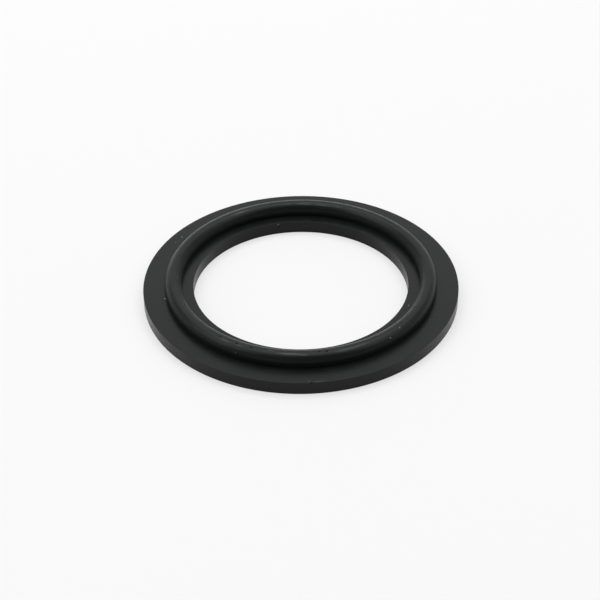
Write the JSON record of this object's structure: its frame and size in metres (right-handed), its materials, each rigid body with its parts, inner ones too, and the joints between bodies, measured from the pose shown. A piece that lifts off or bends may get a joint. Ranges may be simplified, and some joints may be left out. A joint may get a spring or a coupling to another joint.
{
  "type": "heater gasket",
  "caption": "Flat rubber ring with a round-crowned sealing rib moulded round its upper face, clamped in a heater's pipe union to keep the water in.",
  "frame": {"origin": "centre of the bore at the flat underside", "axes": "+Z along the bore, out of the ribbed face; X and Y lie in the underside, and the ring is the same all round"},
  "size_m": [0.0762, 0.0762, 0.0063],
  "materials": {
    "rubber": "moulded, dull satin"
  },
  "bodies": {
    "root": {"gasket": "rubber"}
  },
  "joints": []
}
